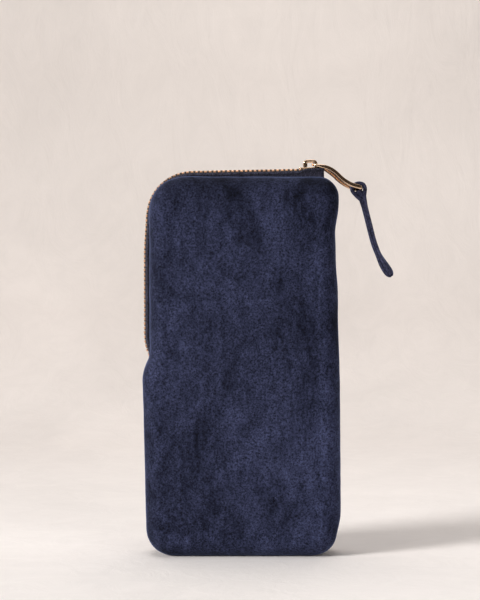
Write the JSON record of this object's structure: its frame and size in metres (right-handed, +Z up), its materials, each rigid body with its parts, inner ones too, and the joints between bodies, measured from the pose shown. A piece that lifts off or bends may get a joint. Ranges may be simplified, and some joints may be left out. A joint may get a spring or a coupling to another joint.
{
  "type": "zippered pouch",
  "caption": "Tall padded velvet pouch with a metal zip round its top corner, a looped puller and a velvet pull strap.",
  "frame": {"origin": "middle of the foot, on the surface the pouch stands on", "axes": "+Z up along the pouch's height, +X to the right seen from the front, -Y out of the front face"},
  "size_m": [0.122, 0.028, 0.195],
  "materials": {
    "velvet": "short-pile navy velvet",
    "padding": "needled wadding",
    "lining": "thin satin weave",
    "zip_tape": "black herringbone tape",
    "zip_teeth": "polished rose gold plate",
    "pull_metal": "polished rose gold plate",
    "thread": "twisted polyester thread"
  },
  "bodies": {
    "pouch": {"back_panel": "velvet", "front_panel": "velvet", "back_padding": "padding", "front_padding": "padding", "back_lining": "lining", "front_lining": "lining", "back_zip_tape": "zip_tape", "front_zip_tape": "zip_tape", "back_zip_teeth": "zip_teeth", "front_zip_teeth": "zip_teeth", "top_stops": "zip_teeth", "bottom_stop": "zip_teeth", "edge_seam_thread": "thread", "back_zip_thread": "thread", "front_zip_thread": "thread"},
    "front_corner": {"front_panel_corner": "velvet", "front_padding_corner": "padding", "front_lining_corner": "lining", "front_zip_tape_corner": "zip_tape", "front_zip_teeth_corner": "zip_teeth", "front_zip_thread_corner": "thread"},
    "slider": {"slider_body": "pull_metal", "slider_bridge": "pull_metal"},
    "puller": {"puller": "pull_metal"},
    "strap": {"pull_strap": "velvet", "strap_thread": "thread"}
  },
  "joints": [
    {"name": "zip_slide", "type": "slide", "parent": "pouch", "child": "slider", "axis": [0.9998, 0, 0.0195], "range_m": [-0.054, 0], "deforming": ["back_zip_teeth", "front_zip_teeth", "front_zip_teeth_corner"]},
    {"name": "puller_swing", "type": "hinge", "parent": "slider", "child": "puller", "pos_m": [0.0348, 0, 0.1925], "axis": [0, -1, 0], "range_deg": [0, 165]},
    {"name": "strap_swing", "type": "hinge", "parent": "puller", "child": "strap", "pos_m": [0.0572, 0, 0.1809], "axis": [0, -1, 0], "range_deg": [-25, 100]},
    {"name": "mouth_open", "type": "hinge", "parent": "pouch", "child": "front_corner", "pos_m": [-0.0453, -0.014, 0.103], "axis": [0.6377, 0, 0.7703], "range_deg": [0, 35], "deforming": ["back_zip_teeth", "front_zip_teeth", "front_zip_teeth_corner"]}
  ],
  "couplings": [
    {"joint": "puller_swing", "follows": "zip_slide", "rad_per_m": -53.33}
  ]
}
